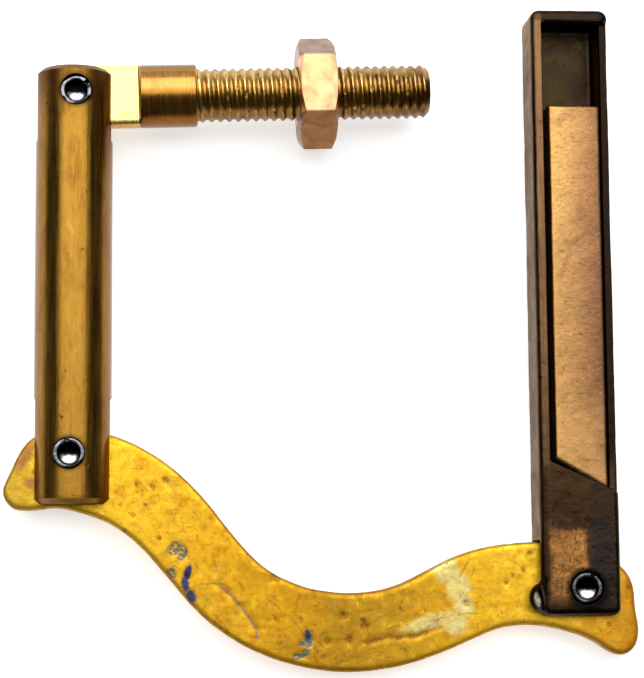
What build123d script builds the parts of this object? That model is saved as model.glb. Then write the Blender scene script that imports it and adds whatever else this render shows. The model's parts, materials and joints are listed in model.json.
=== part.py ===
from build123d import *
import os
from math import cos, sin, radians, sqrt

# Grounding clamp: a forged saddle bar carries a slotted round side rod at one
# end and a formed channel arm at the other. A threaded swing stud with a hex
# nut is pinned in the rod's upper slot. Every pivot is a rolled spring pin.
#
# The linkage is laid out flat first: X runs across the jaw, Y runs along the
# rod and the arm, and Z is the direction of the hinge pins, zero on the middle
# plane of the linkage. At the end the whole linkage is turned a little, so
# that it lies on the nut, the rod's lower rim and the arm, as it does on a
# bench. All lengths are in millimetres.

# ---------------------------------------------------------------- dimensions
# pivots, in the flat layout
PIVOT_X_LOW = -43.85        # rod on saddle bar, drilled a little off the rod's axis
PIVOT_Y_LOW = -20.28
PIVOT_X_TOP = -43.01        # stud on rod, off to the other side
PIVOT_Y_TOP = 42.75
PIVOT_X_RIGHT = 45.35
PIVOT_Y_RIGHT = -43.85      # arm on saddle bar

# saddle bar
BAR_THICK = 3.97            # 5/32 inch stock
BAR_TILT = -14.78           # its levelled axes in the flat layout
BAR_MID_X = 1.20
BAR_MID_Y = -32.065
BAR_EDGE_R = 0.8
BAR_OUTLINE = [             # closed outline, in the bar's own levelled axes
    (-52.85, -11.53), (-50.23, -10.98), (-46.46, -9.60), (-41.73, -9.34),
    (-37.07, -9.85), (-32.79, -11.33), (-28.44, -13.83), (-23.80, -17.12),
    (-19.28, -20.20), (-14.82, -22.49), (-10.05, -24.13), (-5.05, -25.09),
    (0.07, -25.39), (5.19, -25.03), (10.21, -24.00), (15.03, -22.32),
    (19.69, -20.00), (24.19, -17.11), (28.62, -13.71), (32.72, -10.72),
    (36.59, -9.04), (41.27, -8.24), (46.22, -8.15), (50.74, -8.94),
    (54.18, -9.82), (55.68, -9.32), (56.92, -7.53), (56.99, -5.25),
    (55.47, -1.23), (54.07, 2.66), (51.99, 4.81), (48.52, 6.32),
    (44.26, 6.84), (39.47, 6.39), (34.32, 5.18), (29.41, 3.44),
    (24.88, 1.16), (20.81, -1.72), (16.67, -5.41), (12.86, -8.33),
    (8.68, -10.29), (3.96, -11.52), (-0.87, -11.94), (-5.53, -11.49),
    (-9.82, -10.13), (-14.01, -7.72), (-18.53, -4.38), (-23.02, -1.15),
    (-27.50, 1.47), (-32.15, 3.38), (-36.96, 4.56), (-41.79, 4.94),
    (-46.50, 4.45), (-50.64, 3.13), (-53.38, 1.16), (-54.84, -1.55),
    (-55.76, -6.36), (-55.95, -9.23), (-54.92, -10.67)]

# spring pins, 7/32 inch
PIN_R = 2.78
PIN_WALL = 0.85
PIN_GAP = 0.8               # slot along the rolled pin
PIN_TIGHT_R = 2.79          # hole in the outer cheeks
PIN_RUN_R = 2.86            # hole in the part that turns on the pin
PIN_LEFT_LENGTH = 12.4
PIN_RIGHT_LENGTH = 9.5

# side rod
ROD_X = -43.45
ROD_R = 6.70
ROD_Y0 = -28.75
ROD_Y1 = 47.30
ROD_CHAMFER = 0.8
ROD_SLOT_HALF = 2.08        # half the width of both slots
ROD_LOW_SLOT_ROOT = 9.75    # above the lower pivot
ROD_TOP_SLOT_ROOT = 8.10    # below the upper pivot

# swing stud, measured from its pivot along its own axis
STUD_TILT = 1.8
SHANK_R = 5.555             # 7/16 inch
THREAD_R = 4.7625           # 3/8 inch, 16 threads per inch
TANG_END = 11.01
SHANK_END = 21.06
STUD_TIP = 62.36
TIP_CHAMFER = 0.9

# hex nut
NUT_AF = 17.4625            # 11/16 inch across flats
NUT_THICK = 6.5
NUT_START = 39.01           # its near face, from the stud's pivot
NUT_BORE_R = 4.84
NUT_FACE_R = 8.55           # washer circle left by the corner chamfer

# channel arm, formed from sheet
ARM_X0 = 37.40
ARM_X1 = 51.40
ARM_Y0 = -48.60
ARM_Y1 = 59.00
ARM_HALF = 4.80             # half its depth
CHANNEL_HALF = 3.30         # half the depth inside it
SHEET = 1.50
ARM_CORNER_R = 1.6
BOSS_R = 4.2                # spacer bosses beside the saddle bar
BOSS_FACE = 2.08
RIGHT_WALL_TOP = 3.30       # the right wall stops under the folded ear
LIP_X = 39.40               # folded lip along the left wall
LEFT_WALL_Y0 = -35.55       # lower ends of the walls, clear of the saddle bar
RIGHT_WALL_Y0 = -33.20
TOP_WALL_Y0 = 57.20
EAR_Y_LEFT = -21.75         # slanted upper edge of the front ear
EAR_Y_RIGHT = -27.35
NUB_X, NUB_Y = 37.35, -45.45
NUB_RX, NUB_RY = 2.0, 2.5

# contact bar, 3/8 by 1/4 inch
CONTACT_X0 = 40.55
CONTACT_X1 = 49.85
CONTACT_Y1 = 41.85
CONTACT_Y_LEFT = -21.45     # slanted lower end
CONTACT_Y_RIGHT = -26.90
CONTACT_Z0 = -3.28
CONTACT_Z1 = 3.07

# resting attitude: turned about X, then about Y
REST_X = 2.21
REST_Y = 0.70


def vertical_hole(x, y, r, z0=-12.0, z1=12.0):
    return Pos(x, y, (z0 + z1) / 2) * Cylinder(r, z1 - z0)


def slab(x0, x1, y0, y1, z0, z1):
    return Pos((x0 + x1) / 2, (y0 + y1) / 2, (z0 + z1) / 2) * Box(x1 - x0, y1 - y0, z1 - z0)


# ---------------------------------------------------------------- saddle bar
outline = Spline(*[Vector(x, y, 0) for x, y in BAR_OUTLINE], periodic=True)
saddle_bar = extrude(make_face(Wire([outline.edge()])), BAR_THICK / 2, both=True)
rims = [e for e in saddle_bar.edges() if abs(abs(e.center().Z) - BAR_THICK / 2) < 0.01]
saddle_bar = fillet(rims, BAR_EDGE_R)
saddle_bar = Pos(BAR_MID_X, BAR_MID_Y, 0) * Rot(0, 0, BAR_TILT) * saddle_bar
for x, y in ((PIVOT_X_LOW, PIVOT_Y_LOW), (PIVOT_X_RIGHT, PIVOT_Y_RIGHT)):
    saddle_bar -= vertical_hole(x, y, PIN_RUN_R)

# ------------------------------------------------------------------ side rod
rod_len = ROD_Y1 - ROD_Y0
side_rod = Rot(-90, 0, 0) * Cylinder(ROD_R, rod_len)
side_rod = chamfer(side_rod.edges().filter_by(GeomType.CIRCLE), ROD_CHAMFER)
side_rod = Pos(ROD_X, (ROD_Y0 + ROD_Y1) / 2, 0) * side_rod
wide = ROD_R + 2
side_rod -= slab(ROD_X - wide, ROD_X + wide, ROD_Y0 - 5,
                 PIVOT_Y_LOW + ROD_LOW_SLOT_ROOT, -ROD_SLOT_HALF, ROD_SLOT_HALF)
side_rod -= slab(ROD_X - wide, ROD_X + wide,
                 PIVOT_Y_TOP - ROD_TOP_SLOT_ROOT, ROD_Y1 + 5, -ROD_SLOT_HALF, ROD_SLOT_HALF)
for x, y in ((PIVOT_X_LOW, PIVOT_Y_LOW), (PIVOT_X_TOP, PIVOT_Y_TOP)):
    side_rod -= vertical_hole(x, y, PIN_TIGHT_R)

# --------------------------------------------------------------- swing stud
# Turned from round bar: a flat tang with a rounded end, a plain shank, and a
# threaded length drawn at its major diameter.
def along(x0, x1, r):
    return Pos((x0 + x1) / 2, 0, 0) * Rot(0, 90, 0) * Cylinder(r, x1 - x0)


tang = along(-SHANK_R, TANG_END, SHANK_R)
tang &= slab(-SHANK_R - 1, TANG_END, -SHANK_R - 1, SHANK_R + 1, -BAR_THICK / 2, BAR_THICK / 2)
tang -= slab(-SHANK_R - 1, 0, -SHANK_R - 1, SHANK_R + 1, -8, 8) - vertical_hole(0, 0, SHANK_R)
shank = along(TANG_END, SHANK_END, SHANK_R)
thread = along(SHANK_END, STUD_TIP, THREAD_R)
thread = chamfer(thread.edges().filter_by(GeomType.CIRCLE).sort_by(Axis.X)[-1], TIP_CHAMFER)
swing_stud = tang + shank + thread
swing_stud -= vertical_hole(0, 0, PIN_RUN_R)
stud_place = Pos(PIVOT_X_TOP, PIVOT_Y_TOP, 0) * Rot(0, 0, STUD_TILT)
swing_stud = stud_place * swing_stud

# ------------------------------------------------------------------ hex nut
hexagon = RegularPolygon(NUT_AF / 2, 6, major_radius=False, rotation=30)
hex_nut = extrude(hexagon, NUT_THICK / 2, both=True)
rise = (NUT_AF / sqrt(3) - NUT_FACE_R) * 0.5 + 0.25
outer = NUT_AF / sqrt(3) + 0.45
crown = Cylinder(outer, NUT_THICK)
crown = chamfer(crown.edges().filter_by(GeomType.CIRCLE), rise, outer - NUT_FACE_R)
hex_nut &= crown
hex_nut -= Cylinder(NUT_BORE_R, NUT_THICK * 2)
# its axis is turned onto the stud, with one flat facing up and one down
hex_nut = Rot(0, 90, 0) * hex_nut
hex_nut = stud_place * Pos(NUT_START + NUT_THICK / 2, 0, 0) * hex_nut

# -------------------------------------------------------------- channel arm
# A stamped box channel: back plate, left and right walls, a folded top end,
# a lip along the left wall, and an ear folded over the lower front.
def rounded_plate(x0, x1, y0, y1, z0, z1, r_top, r_bottom):
    plate = slab(x0, x1, y0, y1, z0, z1)
    up = plate.edges().filter_by(Axis.Z)
    hi = up.group_by(Axis.Y)[-1]
    plate = fillet(hi, r_top)
    if r_bottom > 0:
        lo = plate.edges().filter_by(Axis.Z).sort_by(Axis.Y)[:2]
        plate = fillet(lo, r_bottom)
    return plate


body = rounded_plate(ARM_X0, ARM_X1, ARM_Y0, ARM_Y1, -ARM_HALF, ARM_HALF, ARM_CORNER_R, 1.4)
# long outer bends of the channel
bends = [e for e in body.edges().filter_by(Axis.Y)
         if abs(e.center().X - ARM_X0) < 0.01 or e.center().Z < 0]
body = fillet(bends, 1.1)
cavity = slab(ARM_X0 + SHEET, ARM_X1 - SHEET, ARM_Y0 - 5, TOP_WALL_Y0, -CHANNEL_HALF, CHANNEL_HALF)
body -= cavity
# open front, above the ear and inside the lip
front = Polyline([(LIP_X, TOP_WALL_Y0 - 0.3), (ARM_X1 + 2, TOP_WALL_Y0 - 0.3),
                  (ARM_X1 + 2, EAR_Y_RIGHT - 2 * (EAR_Y_LEFT - EAR_Y_RIGHT) / (ARM_X1 - LIP_X)),
                  (LIP_X, EAR_Y_LEFT)], close=True)
body -= Pos(0, 0, RIGHT_WALL_TOP) * extrude(make_face(front), 5)
# the walls stop above the saddle bar
body -= slab(ARM_X0 - 2, ARM_X0 + SHEET + 0.01, ARM_Y0 - 5, LEFT_WALL_Y0, -CHANNEL_HALF, CHANNEL_HALF)
body -= slab(ARM_X1 - SHEET - 0.01, ARM_X1 + 2, ARM_Y0 - 5, RIGHT_WALL_Y0, -CHANNEL_HALF, CHANNEL_HALF)
# rolled nub at the ear's lower left corner
nub = Pos(NUB_X, NUB_Y, (CHANNEL_HALF + ARM_HALF) / 2) * extrude(
    Ellipse(NUB_RX, NUB_RY), (ARM_HALF - CHANNEL_HALF) / 2, both=True)
nub = fillet(nub.edges().filter_by(lambda e: e.center().Z > ARM_HALF - 0.01), 0.6)
channel_arm = body + nub
# spacer bosses fill the room beside the saddle bar
for s in (-1, 1):
    channel_arm += (Pos(PIVOT_X_RIGHT, PIVOT_Y_RIGHT, s * (BOSS_FACE + CHANNEL_HALF + 0.2) / 2)
                    * Cylinder(BOSS_R, CHANNEL_HALF + 0.2 - BOSS_FACE))
channel_arm -= vertical_hole(PIVOT_X_RIGHT, PIVOT_Y_RIGHT, PIN_TIGHT_R)

# -------------------------------------------------------------- contact bar
prof = Polyline([(CONTACT_X0, CONTACT_Y1), (CONTACT_X1, CONTACT_Y1),
                 (CONTACT_X1, CONTACT_Y_RIGHT), (CONTACT_X0, CONTACT_Y_LEFT)], close=True)
contact_bar = Pos(0, 0, CONTACT_Z0) * extrude(make_face(prof), CONTACT_Z1 - CONTACT_Z0)
crisp = [e for e in contact_bar.edges()
         if e.center().Z > CONTACT_Z1 - 0.01 and e.center().X < CONTACT_X1 - 0.1]
contact_bar = chamfer(crisp, 0.35)


# --------------------------------------------------------------- spring pins
def spring_pin(x, y, length, turn):
    pin = Cylinder(PIN_R, length)
    pin = chamfer(pin.edges().filter_by(GeomType.CIRCLE), 0.35)
    pin -= Cylinder(PIN_R - PIN_WALL, length + 2)
    pin -= Rot(0, 0, turn) * Pos(PIN_R, 0, 0) * Box(PIN_R * 2, PIN_GAP, length + 2)
    return Pos(x, y, 0) * pin


lower_spring_pin = spring_pin(PIVOT_X_LOW, PIVOT_Y_LOW, PIN_LEFT_LENGTH, 100)
upper_spring_pin = spring_pin(PIVOT_X_TOP, PIVOT_Y_TOP, PIN_LEFT_LENGTH, 40)
arm_spring_pin = spring_pin(PIVOT_X_RIGHT, PIVOT_Y_RIGHT, PIN_RIGHT_LENGTH, 65)

# ------------------------------------------------------ place it as it rests
nodes = {
    "saddle_bar": saddle_bar,
    "side_rod": side_rod,
    "lower_spring_pin": lower_spring_pin,
    "upper_spring_pin": upper_spring_pin,
    "swing_stud": swing_stud,
    "hex_nut": hex_nut,
    "channel_arm": channel_arm,
    "contact_bar": contact_bar,
    "arm_spring_pin": arm_spring_pin,
}
turn = Rot(0, REST_Y, 0) * Rot(REST_X, 0, 0)
turned = {name: turn * shape for name, shape in nodes.items()}
box = Compound(children=[Compound(s.solids()) for s in turned.values()]).bounding_box()
shift = Pos(-(box.min.X + box.max.X) / 2, -(box.min.Y + box.max.Y) / 2, -box.min.Z)
place = shift * turn


def placed_point(x, y, z=0.0):
    return (place * Pos(x, y, z)).position


def placed_direction(x, y, z):
    a = placed_point(0, 0, 0)
    b = placed_point(x, y, z)
    return b - a


if __name__ == "__main__":
    os.makedirs("parts", exist_ok=True)
    for name, shape in nodes.items():
        solid = place * shape
        solid = solid.solids()[0] if len(solid.solids()) == 1 else solid
        export_step(solid, os.path.join("parts", name + ".step"))
        b = solid.bounding_box()
        print("%-18s volume %9.2f  x %7.2f %7.2f  y %7.2f %7.2f  z %7.3f %7.3f" % (
            name, solid.volume, b.min.X, b.max.X, b.min.Y, b.max.Y, b.min.Z, b.max.Z))
    d = placed_direction(0, 0, 1)
    print("hinge axis  %.7f %.7f %.7f" % (d.X, d.Y, d.Z))
    d = placed_direction(cos(radians(STUD_TILT)), sin(radians(STUD_TILT)), 0)
    print("stud axis   %.7f %.7f %.7f" % (d.X, d.Y, d.Z))
    for label, (x, y) in {"lower pivot": (PIVOT_X_LOW, PIVOT_Y_LOW),
                          "upper pivot": (PIVOT_X_TOP, PIVOT_Y_TOP),
                          "arm pivot": (PIVOT_X_RIGHT, PIVOT_Y_RIGHT),
                          "flat origin": (0, 0)}.items():
        p = placed_point(x, y)
        print("%-11s %.7f %.7f %.7f" % (label, p.X, p.Y, p.Z))
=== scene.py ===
import json
import math

import bmesh
import bpy
import numpy as np
from mathutils import Matrix, Vector, noise


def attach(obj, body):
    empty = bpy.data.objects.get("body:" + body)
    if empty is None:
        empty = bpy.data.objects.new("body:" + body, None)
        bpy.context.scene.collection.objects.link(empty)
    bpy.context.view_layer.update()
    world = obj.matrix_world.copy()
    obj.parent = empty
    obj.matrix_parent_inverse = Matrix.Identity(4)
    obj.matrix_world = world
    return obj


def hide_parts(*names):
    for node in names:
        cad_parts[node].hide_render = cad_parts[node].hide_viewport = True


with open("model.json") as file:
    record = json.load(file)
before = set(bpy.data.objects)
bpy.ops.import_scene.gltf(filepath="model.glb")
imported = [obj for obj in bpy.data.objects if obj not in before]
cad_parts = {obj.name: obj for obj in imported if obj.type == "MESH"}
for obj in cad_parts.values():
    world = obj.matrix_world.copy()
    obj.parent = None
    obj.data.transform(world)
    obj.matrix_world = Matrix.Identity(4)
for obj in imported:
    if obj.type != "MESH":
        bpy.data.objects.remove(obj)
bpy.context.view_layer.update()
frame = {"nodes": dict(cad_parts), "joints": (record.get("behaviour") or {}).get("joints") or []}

# ------------------------------------------------------------------- layout
# The linkage's own flat layout, in millimetres: X across the jaw, Y from the
# lower to the upper hinge of the rod, Z along the hinge pins.
joints = {j["name"]: j for j in frame["joints"]}
P_LOW = Vector(joints["rod_hinge"]["pos_m"])
P_TOP = Vector(joints["stud_swing"]["pos_m"])
Z_AX = Vector(joints["rod_hinge"]["axis"]).normalized()
ROD_X = -43.45
PIVOT_X_LOW, PIVOT_Y_LOW, PIVOT_X_TOP, PIVOT_Y_TOP = -43.85, -20.28, -43.01, 42.75
PIVOT_X_RIGHT, PIVOT_Y_RIGHT = 45.35, -43.85
along_rod = P_TOP - P_LOW
along_rod = (along_rod - Z_AX * along_rod.dot(Z_AX)).normalized()
across_rod = along_rod.cross(Z_AX).normalized()
lean = math.atan2(PIVOT_X_TOP - PIVOT_X_LOW, PIVOT_Y_TOP - PIVOT_Y_LOW)
X_AX = across_rod * math.cos(lean) + along_rod * math.sin(lean)
Y_AX = along_rod * math.cos(lean) - across_rod * math.sin(lean)
STUD_AX = Vector(joints["nut_travel"]["axis"]).normalized()
STUD_SIDE = Z_AX.cross(STUD_AX).normalized()

ROT = Matrix((X_AX, Y_AX, Z_AX)).transposed()
ORIGIN = P_LOW - ROT @ Vector((PIVOT_X_LOW, PIVOT_Y_LOW, 0)) * 0.001
FLAT = Matrix.Translation(ORIGIN) @ ROT.to_4x4() @ Matrix.Scale(0.001, 4)
UNFLAT = FLAT.inverted()
STUD_ROT = Matrix((STUD_AX, STUD_SIDE, Z_AX)).transposed()
STUD = Matrix.Translation(P_TOP) @ STUD_ROT.to_4x4() @ Matrix.Scale(0.001, 4)


def srgb(r, g, b):
    def one(c):
        c /= 255.0
        return c / 12.92 if c <= 0.04045 else ((c + 0.055) / 1.055) ** 2.4
    return (one(r), one(g), one(b), 1.0)


# ------------------------------------------------------------ shader helper
class Shade:
    """One procedural material. p is the flat layout's position in mm, s the stud's own."""

    def __init__(self, name, metallic=1.0, frame_matrix="flat"):
        self.mat = bpy.data.materials.new(name)
        self.mat.use_nodes = True
        self.tree = self.mat.node_tree
        self.tree.nodes.clear()
        self.out = self.node("ShaderNodeOutputMaterial")
        self.bsdf = self.node("ShaderNodeBsdfPrincipled")
        self.bsdf.inputs["Metallic"].default_value = metallic
        self.tree.links.new(self.bsdf.outputs[0], self.out.inputs["Surface"])
        co = self.node("ShaderNodeTexCoord").outputs["Object"]
        m = self.node("ShaderNodeMapping")
        m.vector_type = "TEXTURE"
        if frame_matrix == "flat":
            loc, rot = ORIGIN, ROT
        else:
            loc, rot = P_TOP, STUD_ROT
        m.inputs["Location"].default_value = loc
        m.inputs["Rotation"].default_value = rot.to_euler("XYZ")
        m.inputs["Scale"].default_value = (0.001, 0.001, 0.001)
        self.tree.links.new(co, m.inputs["Vector"])
        self.p = m.outputs["Vector"]

    def node(self, kind):
        return self.tree.nodes.new(kind)

    def put(self, value, socket):
        if isinstance(value, bpy.types.NodeSocket):
            self.tree.links.new(value, socket)
        elif value is not None:
            socket.default_value = value

    def math(self, op, a, b=None, c=None, clamp=False):
        n = self.node("ShaderNodeMath")
        n.operation = op
        n.use_clamp = clamp
        for i, v in enumerate((a, b, c)):
            self.put(v, n.inputs[i])
        return n.outputs[0]

    def vec(self, op, a, b=None):
        n = self.node("ShaderNodeVectorMath")
        n.operation = op
        self.put(a, n.inputs[0])
        self.put(b, n.inputs[1])
        return n.outputs["Value"] if op in ("DISTANCE", "DOT_PRODUCT", "LENGTH") else n.outputs["Vector"]

    def scaled(self, v):
        return self.vec("MULTIPLY", self.p, v)

    def noise(self, scale, detail=3.0, rough=0.55, vector=None, distortion=0.0, colour=False):
        n = self.node("ShaderNodeTexNoise")
        self.put(self.p if vector is None else vector, n.inputs["Vector"])
        n.inputs["Scale"].default_value = scale
        n.inputs["Detail"].default_value = detail
        n.inputs["Roughness"].default_value = rough
        n.inputs["Distortion"].default_value = distortion
        return n.outputs["Color"] if colour else n.outputs[0]

    def cells(self, scale, vector=None, feature="F1", colour=False, randomness=1.0):
        n = self.node("ShaderNodeTexVoronoi")
        n.feature = feature
        self.put(self.p if vector is None else vector, n.inputs["Vector"])
        n.inputs["Scale"].default_value = scale
        n.inputs["Randomness"].default_value = randomness
        return n.outputs["Color"] if colour else n.outputs["Distance"]

    def ramp(self, value, stops, interpolation="LINEAR"):
        n = self.node("ShaderNodeValToRGB")
        n.color_ramp.interpolation = interpolation
        e = n.color_ramp.elements
        while len(e) < len(stops):
            e.new(0.5)
        for i, (at, col) in enumerate(stops):
            e[i].position = at
            e[i].color = col if len(col) == 4 else (*col, 1)
        self.put(value, n.inputs[0])
        return n.outputs[0]

    def remap(self, value, a, b, c=0.0, d=1.0, smooth=True):
        n = self.node("ShaderNodeMapRange")
        n.interpolation_type = "SMOOTHSTEP" if smooth else "LINEAR"
        self.put(value, n.inputs["Value"])
        for k, v in zip(("From Min", "From Max", "To Min", "To Max"), (a, b, c, d)):
            self.put(v, n.inputs[k])
        return n.outputs[0]

    def mix(self, fac, a, b, blend="MIX"):
        n = self.node("ShaderNodeMix")
        n.data_type = "RGBA"
        n.blend_type = blend
        n.clamp_result = False
        self.put(fac, n.inputs[0])
        self.put(a, n.inputs[6])
        self.put(b, n.inputs[7])
        return n.outputs[2]

    def axes(self, v=None):
        n = self.node("ShaderNodeSeparateXYZ")
        self.put(self.p if v is None else v, n.inputs[0])
        return n.outputs[0], n.outputs[1], n.outputs[2]

    def facing(self, direction):
        """How far the surface's own normal turns to a fixed direction of the layout."""
        g = self.node("ShaderNodeTexCoord").outputs["Normal"]
        d = self.node("ShaderNodeVectorMath")
        d.operation = "DOT_PRODUCT"
        self.tree.links.new(g, d.inputs[0])
        d.inputs[1].default_value = direction
        return d.outputs["Value"]

    def spot(self, at, r, soft, warp=None):
        """1 inside a ragged spot, 0 outside."""
        d = self.vec("DISTANCE", self.p if warp is None else warp, at)
        return self.remap(d, r + soft, r - soft)

    def blob(self, at, size, soft=0.25, warp=None, turn=0.0):
        """1 inside a ragged ellipse in the layout's XY plane."""
        m = self.node("ShaderNodeMapping")
        m.vector_type = "TEXTURE"
        self.put(self.p if warp is None else warp, m.inputs["Vector"])
        m.inputs["Location"].default_value = (at[0], at[1], 0)
        m.inputs["Rotation"].default_value = (0, 0, math.radians(turn))
        m.inputs["Scale"].default_value = (size[0], size[1], 40)
        d = self.vec("LENGTH", m.outputs["Vector"])
        return self.remap(d, 1 + soft, 1 - soft)

    def most(self, values):
        out = values[0]
        for v in values[1:]:
            out = self.math("MAXIMUM", out, v)
        return out

    def warp(self, scale, amount, detail=3.0):
        c = self.noise(scale, detail, colour=True)
        off = self.vec("SUBTRACT", c, (0.5, 0.5, 0.5))
        off = self.vec("MULTIPLY", off, (2 * amount, 2 * amount, 2 * amount))
        return self.vec("ADD", self.p, off)

    def bump(self, height, strength=1.0, mm=1.0, before=None):
        n = self.node("ShaderNodeBump")
        n.inputs["Strength"].default_value = strength
        n.inputs["Distance"].default_value = 0.001 * mm
        self.put(height, n.inputs["Height"])
        self.put(before, n.inputs["Normal"])
        return n.outputs[0]

    def done(self, colour, rough, normal=None):
        self.put(colour, self.bsdf.inputs["Base Color"])
        self.put(rough, self.bsdf.inputs["Roughness"])
        self.put(normal, self.bsdf.inputs["Normal"])
        return self.mat


UP = tuple(Z_AX)


# ------------------------------------------------------------- saddle finish
def saddle_material():
    s = Shade("saddle_finish", metallic=0.78)
    s.bsdf.inputs["Specular IOR Level"].default_value = 0.2
    x, y, z = s.axes()
    wide = s.noise(0.16, 3, 0.55)
    mottle = s.noise(0.55, 5, 0.62, distortion=0.5)
    fine = s.noise(2.4, 5, 0.65)
    # along the bar, from the rod's end to the arm's end
    along = s.remap(s.math("ADD", x, s.math("MULTIPLY", s.math("SUBTRACT", wide, 0.5), 16.0)), -56.0, 58.0, smooth=False)
    base = s.ramp(along, [
        (0.00, srgb(224, 172, 48)), (0.16, srgb(243, 206, 40)), (0.30, srgb(242, 200, 42)),
        (0.42, srgb(226, 178, 36)), (0.55, srgb(210, 162, 36)), (0.68, srgb(226, 174, 38)),
        (0.80, srgb(240, 192, 48)), (0.92, srgb(236, 176, 46)), (1.00, srgb(214, 142, 38))])
    base = s.mix(s.remap(mottle, 0.50, 0.72, 0, 0.62), base, srgb(206, 138, 30))
    base = s.mix(s.remap(mottle, 0.46, 0.30, 0, 0.55), base, srgb(250, 222, 62))
    base = s.mix(s.remap(fine, 0.56, 0.74, 0, 0.42), base, srgb(188, 120, 30))
    base = s.mix(s.remap(fine, 0.42, 0.28, 0, 0.30), base, srgb(255, 236, 110))
    # brown wear worked into the surface: small clouds, and streaks along the bar
    cloud = s.noise(1.15, 5, 0.7, vector=s.vec("ADD", s.p, (11.0, 40.0, 2.0)), distortion=0.8)
    base = s.mix(s.remap(cloud, 0.55, 0.68, 0, 0.55), base, srgb(176, 112, 30))
    base = s.mix(s.remap(cloud, 0.40, 0.28, 0, 0.40), base, srgb(255, 226, 84))
    graze = s.noise(1.0, 4, 0.65, vector=s.scaled((0.5, 2.0, 1.0)), distortion=0.6)
    base = s.mix(s.remap(graze, 0.58, 0.70, 0, 0.40), base, srgb(164, 104, 34))
    # greenish haze in places
    haze = s.noise(0.30, 4, 0.6, vector=s.vec("ADD", s.p, (31.0, 7.0, 3.0)))
    base = s.mix(s.remap(haze, 0.54, 0.70, 0, 0.35), base, srgb(190, 168, 62))
    tint = s.ramp(along, [(0.00, (0.72, 0.80, 1.0)), (0.10, (0.90, 0.86, 1.0)), (0.17, (0.95, 0.82, 1.0)), (0.30, (0.85, 0.71, 0.72)),
                          (0.42, (0.83, 0.71, 0.52)), (0.52, (0.72, 0.66, 0.64)), (0.70, (0.99, 0.97, 0.81)),
                          (0.84, (0.96, 0.95, 1.0)), (0.94, (0.80, 0.74, 0.60)), (1.00, (0.74, 0.68, 0.46))])
    base = s.mix(1.0, base, tint, "MULTIPLY")
    w = s.warp(0.9, 0.85)
    w2 = s.warp(2.2, 0.35)
    # rubbed pale patch near the arm and its tail along the lower edge
    pale = s.most([
        s.blob((21.2, -40.6), (2.2, 2.0), 0.30, w, 20), s.blob((23.2, -43.6), (2.1, 2.6), 0.30, w, 10),
        s.blob((24.2, -46.6), (1.7, 1.8), 0.35, w, 0), s.blob((18.4, -49.4), (4.6, 1.15), 0.45, w, 16),
        s.blob((22.6, -49.8), (2.0, 1.9), 0.40, w, 40)])
    grain = s.remap(s.noise(1.1, 5, 0.6), 0.36, 0.62, 0.45, 0.95)
    base = s.mix(s.math("MULTIPLY", pale, grain), base, srgb(222, 212, 142))
    # streak and stain at the far left end, stain beside the rod
    left = s.most([s.blob((-51.4, -20.6), (0.9, 2.8), 0.5, w, -24), s.blob((-50.3, -25.2), (1.3, 0.9), 0.5, w, 0)])
    base = s.mix(s.math("MULTIPLY", left, 0.75), base, srgb(150, 92, 62))
    # brown creases: a hair crack under the belly and a curved scrape
    lines = []
    for a, b in (((6.5, -53.0), (10.7, -52.05)), ((10.7, -52.05), (14.8, -52.1)), ((14.8, -52.1), (19.7, -50.5))):
        mid = ((a[0] + b[0]) / 2, (a[1] + b[1]) / 2)
        half = math.dist(a, b) / 2
        lines.append(s.blob(mid, (half * 1.15, 0.33), 0.55, w2, math.degrees(math.atan2(b[1] - a[1], b[0] - a[0]))))
    crack = s.math("MULTIPLY", s.most(lines), s.remap(s.noise(1.2, 4, 0.65), 0.44, 0.56, 0.1, 1))
    base = s.mix(s.math("MULTIPLY", crack, 0.65), base, srgb(118, 70, 34))
    lines = []
    way = [(-18.5, -42.7), (-16.4, -44.4), (-14.6, -46.4), (-12.9, -48.6), (-11.9, -50.4), (-11.7, -52.2)]
    for a, b in zip(way, way[1:]):
        mid = ((a[0] + b[0]) / 2, (a[1] + b[1]) / 2)
        half = math.dist(a, b) / 2
        lines.append(s.blob(mid, (half * 1.25, 0.24), 0.6, w2, math.degrees(math.atan2(b[1] - a[1], b[0] - a[0]))))
    scrape = s.most(lines)
    base = s.mix(s.math("MULTIPLY", scrape, 0.65), base, srgb(128, 104, 112))
    arcs = []
    for cx, cy, rad, wide in ((6.0, -30.0, 21.0, 0.16), (-20.0, -62.0, 19.5, 0.14), (8.0, -33.5, 19.4, 0.12), (-48.0, -50.0, 27.0, 0.14), (26.0, -70.0, 22.0, 0.13)):
        q = s.math("ABSOLUTE", s.math("SUBTRACT", s.vec("DISTANCE", s.vec("MULTIPLY", w2, (1, 1, 0)), (cx, cy, 0)), rad))
        arcs.append(s.remap(q, wide * 1.7, wide * 0.4))
    arc = s.math("MULTIPLY", s.most(arcs), s.remap(s.noise(0.28, 3, vector=s.vec("ADD", s.p, (70.0, 1.0, 5.0))), 0.50, 0.60))
    base = s.mix(s.math("MULTIPLY", arc, 0.5), base, srgb(142, 96, 44))
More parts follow.
